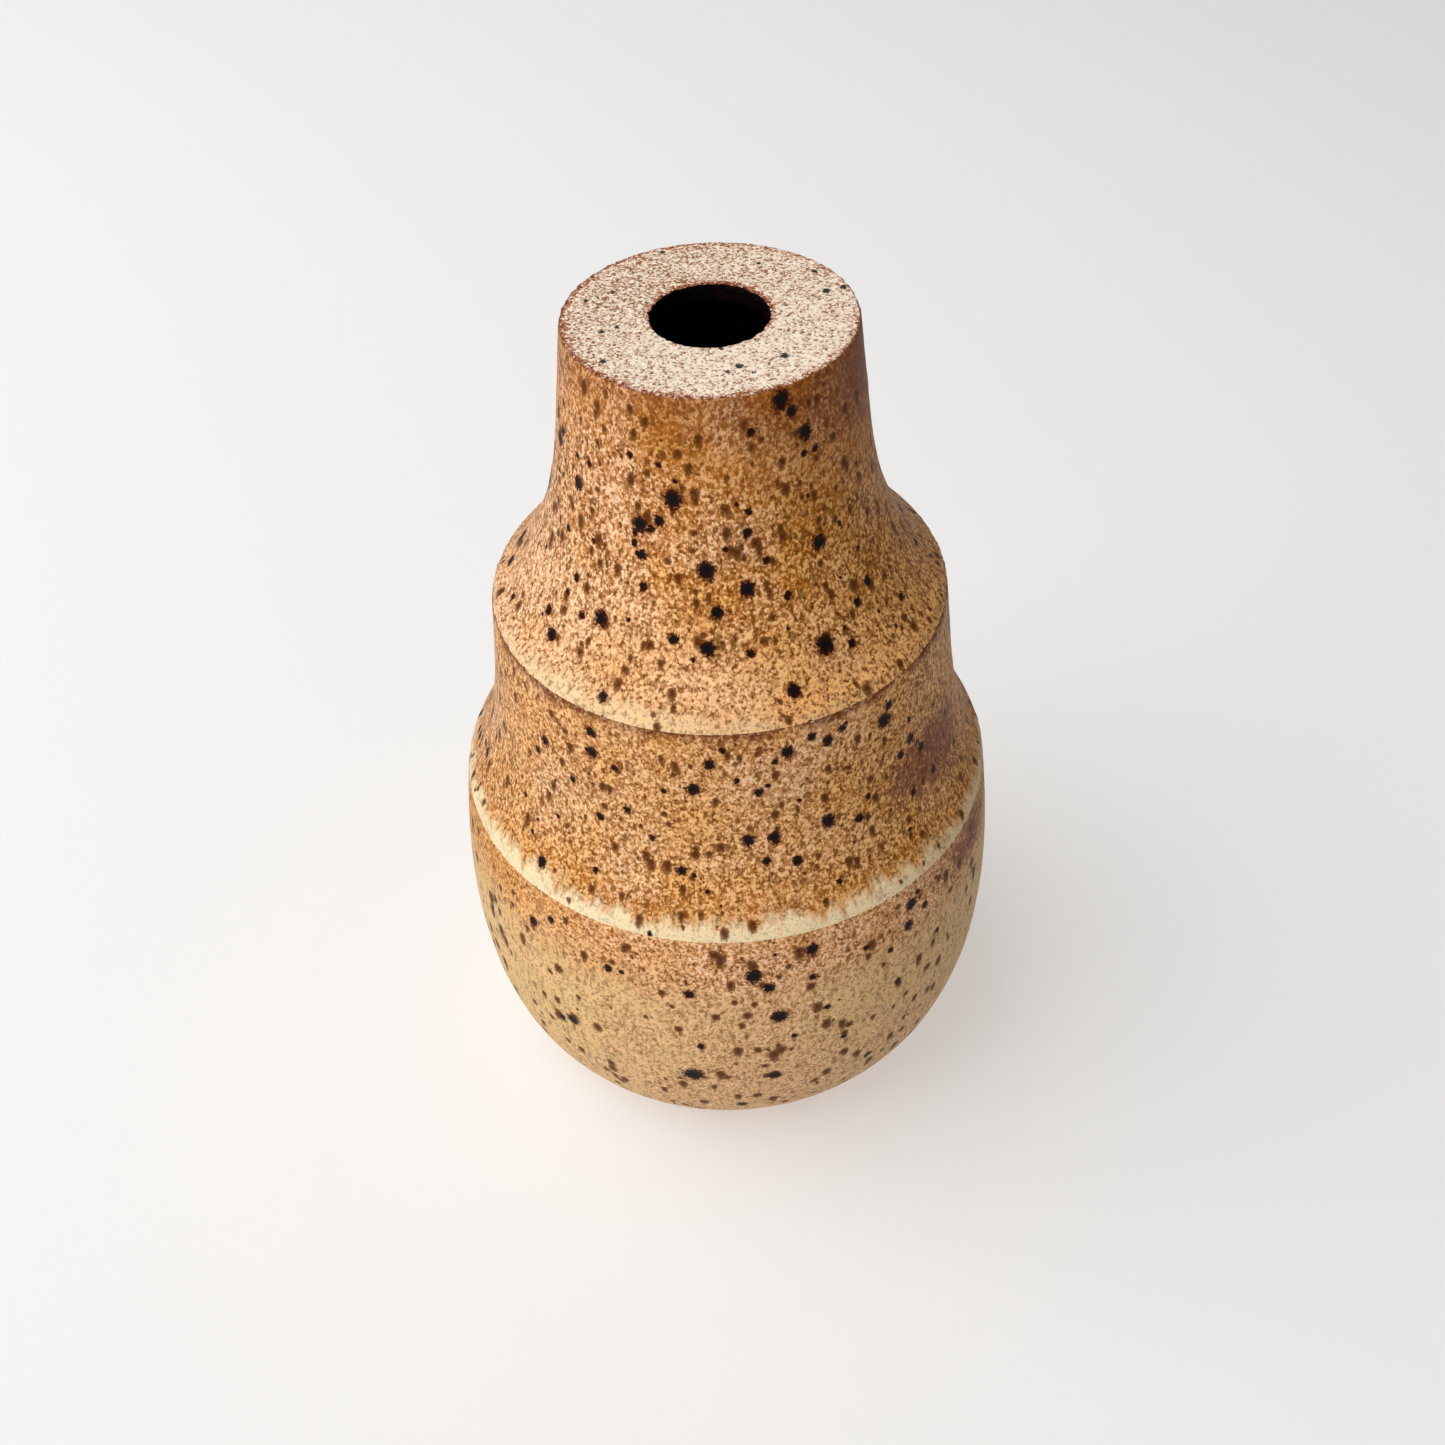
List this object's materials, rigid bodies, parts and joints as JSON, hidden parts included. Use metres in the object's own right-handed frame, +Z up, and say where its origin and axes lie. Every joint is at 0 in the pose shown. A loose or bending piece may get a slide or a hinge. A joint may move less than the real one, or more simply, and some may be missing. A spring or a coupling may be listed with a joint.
{
  "type": "ceramic bud vase",
  "caption": "Wheel-thrown stoneware bud vase in stacked tiers with sharp ridges, a small mouth in a flat bare top, a rounded bowl and iron-speckled satin glaze.",
  "frame": {"origin": "on the surface that the vase stands on, at the middle of the foot", "axes": "+Z up along the turning axis; the vase is a solid of revolution, so +X and +Y are alike"},
  "size_m": [0.0882, 0.0882, 0.136],
  "materials": {
    "stoneware": "bare pale pinkish-buff stoneware with fine grey-brown grog, toasted orange-brown at the mouth and the outer edge",
    "neck_glaze": "satin ochre glaze, brown under the rim and cream above the ridge, with dark iron spots",
    "middle_glaze": "satin pinkish-tan glaze, golden with a cream band above the ridge, with dark iron spots and brown streaks",
    "bowl_glaze": "satin khaki-cream glaze, reddish-brown under the ridge, with dark iron spots",
    "liner_glaze": "thin dark brown liner glaze"
  },
  "bodies": {
    "root": {"clay_body": "stoneware", "neck_glaze": "neck_glaze", "middle_glaze": "middle_glaze", "bowl_glaze": "bowl_glaze", "liner_glaze": "liner_glaze"}
  },
  "joints": []
}
